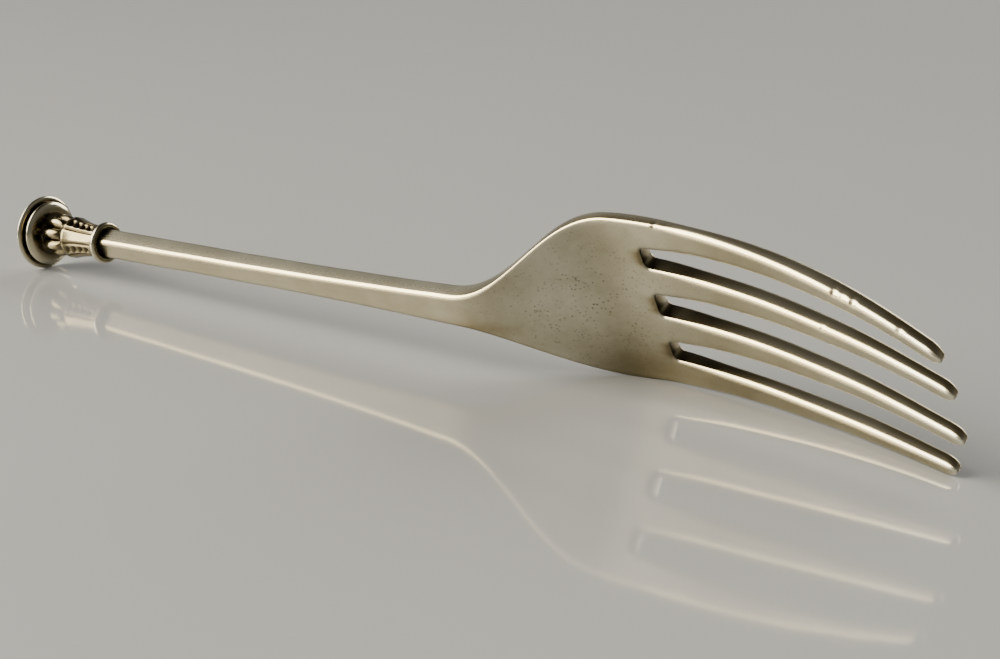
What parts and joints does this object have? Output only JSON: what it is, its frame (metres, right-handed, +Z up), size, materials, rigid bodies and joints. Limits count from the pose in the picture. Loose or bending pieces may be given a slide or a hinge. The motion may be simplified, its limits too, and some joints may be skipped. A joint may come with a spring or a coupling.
{
  "type": "table fork",
  "caption": "Silver table fork with a curved palm, slender tapering tines, a square stem and a seal-top finial with a lobed knop, lying on its side",
  "frame": {"origin": "on the table, under the centre of the bounding box of the fork as it lies on its side", "axes": "X runs along the stem from the seal to the tines, Y points away from the hollow face, Z is up from the table"},
  "size_m": [0.1444, 0.0186, 0.0227],
  "materials": {
    "blank_silver": "satin",
    "collar_silver": "satin",
    "neck_silver": "satin",
    "knop_silver": "satin",
    "seal_silver": "satin"
  },
  "bodies": {
    "root": {"fork_blank": "blank_silver", "collar_ring": "collar_silver", "fluted_neck": "neck_silver", "lobed_knop": "knop_silver", "seal_disc": "seal_silver"}
  },
  "joints": []
}
